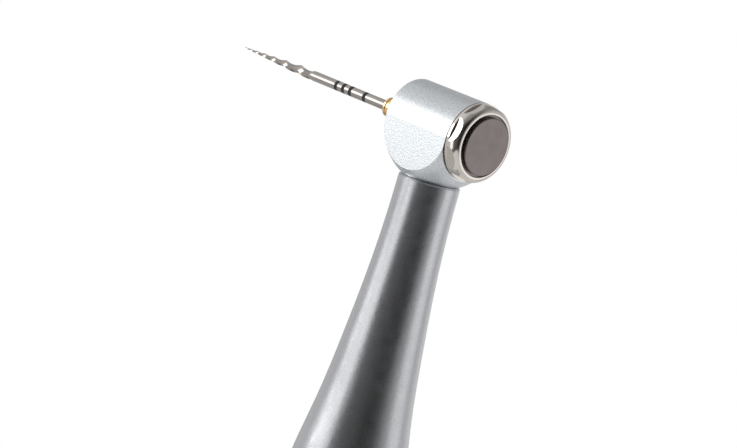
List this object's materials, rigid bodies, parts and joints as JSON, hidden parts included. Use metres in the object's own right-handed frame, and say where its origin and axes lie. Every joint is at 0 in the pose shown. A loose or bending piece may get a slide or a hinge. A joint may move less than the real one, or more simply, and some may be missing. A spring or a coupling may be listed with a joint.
{
  "type": "endodontic motor",
  "caption": "Cordless endodontic motor handpiece: swivelling metal contra-angle with push-button chuck and twisted rotary file on a motor handle with display and keys.",
  "frame": {"origin": "centre of the tail face of the handle", "axes": "+Z along the handle towards the head, +X towards the display side and the push button, file pointing to -X"},
  "size_m": [0.0417, 0.0268, 0.1972],
  "materials": {
    "satin_metal": "bead-blasted satin",
    "neck_metal": "dark satin",
    "polished_steel": "polished",
    "button_metal": "fine satin, warm grey",
    "gold_plate": "polished gold plate",
    "file_alloy": "bright machined nickel-titanium",
    "spring_steel": "bright wire",
    "shaft_steel": "ground",
    "gear_steel": "machined",
    "bearing_steel": "lapped",
    "bronze": "sintered",
    "alloy": "machined",
    "seal_rubber": "matt",
    "copper": "enamelled wire",
    "magnet": "nickel plated",
    "motor_steel": "satin",
    "casing_plastic": "satin moulded white",
    "tail_plastic": "fine moulded grain",
    "button_plastic": "soft touch grey",
    "start_plastic": "soft touch blue-grey",
    "chassis_plastic": "moulded",
    "cell_wrap": "shrink wrap",
    "contact_gold": "gold flash",
    "board": "solder mask",
    "display_black": "glossy",
    "window": "tinted clear",
    "switch_plastic": "moulded"
  },
  "bodies": {
    "handle": {"coupling_nose": "alloy", "nose_seals": "seal_rubber", "latch_ring": "spring_steel", "motor_can": "motor_steel", "motor_bushes": "bronze", "motor_winding": "copper", "upper_shell": "casing_plastic", "lower_shell": "casing_plastic", "shell_screws": "spring_steel", "front_collar": "satin_metal", "tail_cap": "tail_plastic", "tail_seal": "seal_rubber", "tail_screws": "spring_steel", "charge_contacts": "contact_gold", "chassis": "chassis_plastic", "battery_cell": "cell_wrap", "battery_contact": "contact_gold", "circuit_board": "board", "display_module": "display_black", "display_window": "window", "panel_switches": "switch_plastic"},
    "contra_angle": {"head_housing": "satin_metal", "back_cap": "polished_steel", "button_spring": "spring_steel", "head_bearing_outer_races": "bearing_steel", "head_bearing_balls": "bearing_steel", "neck_bushes": "bronze", "neck_sleeve": "neck_metal", "rear_bearing_outer_races": "bearing_steel", "rear_bearing_balls": "bearing_steel", "bearing_spacer": "alloy", "rear_sheath": "neck_metal"},
    "drive_train": {"motor_rotor": "magnet", "motor_shaft": "shaft_steel", "drive_dog": "shaft_steel", "rear_shaft": "shaft_steel", "rear_knee_gear": "gear_steel", "rear_bearing_inner_races": "bearing_steel"},
    "neck_drive": {"neck_shaft": "shaft_steel", "neck_knee_gear": "gear_steel", "neck_crown_gear": "gear_steel"},
    "chuck": {"chuck_spindle": "shaft_steel", "chuck_jaws": "spring_steel", "spindle_pinion": "gear_steel", "head_bearing_inner_races": "bearing_steel"},
    "file": {"file_shank": "gold_plate", "file_blade": "file_alloy"},
    "release_button": {"push_button": "button_metal"},
    "power_key": {"power_button": "button_plastic"},
    "minus_key": {"minus_button": "button_plastic"},
    "plus_key": {"plus_button": "button_plastic"},
    "start_key": {"start_button": "start_plastic"}
  },
  "joints": [
    {"name": "contra_angle_swivel", "type": "hinge", "parent": "handle", "child": "contra_angle", "pos_m": [0, 0, 0.11], "axis": [0, 0, 1], "continuous": true},
    {"name": "drive_spin", "type": "hinge", "parent": "contra_angle", "child": "drive_train", "pos_m": [0, 0, 0.136], "axis": [0, 0, 1], "continuous": true},
    {"name": "neck_shaft_spin", "type": "hinge", "parent": "contra_angle", "child": "neck_drive", "pos_m": [0.01778, 0, 0.18486], "axis": [0.342, 0, 0.9397], "continuous": true},
    {"name": "chuck_spin", "type": "hinge", "parent": "contra_angle", "child": "chuck", "pos_m": [0.01778, 0, 0.18486], "axis": [0.9397, 0, -0.342], "continuous": true},
    {"name": "file_withdraw", "type": "slide", "parent": "chuck", "child": "file", "axis": [-0.9397, 0, 0.342], "range_m": [0, 0.014]},
    {"name": "release_button_press", "type": "slide", "parent": "contra_angle", "child": "release_button", "axis": [-0.9397, 0, 0.342], "range_m": [0, 0.0005], "stiffness_N_per_m": 800, "springref_m": -0.0005, "deforming": ["button_spring"]},
    {"name": "power_press", "type": "slide", "parent": "handle", "child": "power_key", "axis": [-1, 0, 0], "range_m": [0, 0.00035], "stiffness_N_per_m": 600, "springref_m": -0.0003},
    {"name": "minus_press", "type": "slide", "parent": "handle", "child": "minus_key", "axis": [-1, 0, 0], "range_m": [0, 0.00035], "stiffness_N_per_m": 600, "springref_m": -0.0003},
    {"name": "plus_press", "type": "slide", "parent": "handle", "child": "plus_key", "axis": [-1, 0, 0], "range_m": [0, 0.00035], "stiffness_N_per_m": 600, "springref_m": -0.0003},
    {"name": "start_press", "type": "slide", "parent": "handle", "child": "start_key", "axis": [-1, 0, 0], "range_m": [0, 0.00035], "stiffness_N_per_m": 600, "springref_m": -0.0003}
  ],
  "couplings": [
    {"joint": "neck_shaft_spin", "follows": "drive_spin", "ratio": 1},
    {"joint": "chuck_spin", "follows": "drive_spin", "ratio": 1}
  ]
}
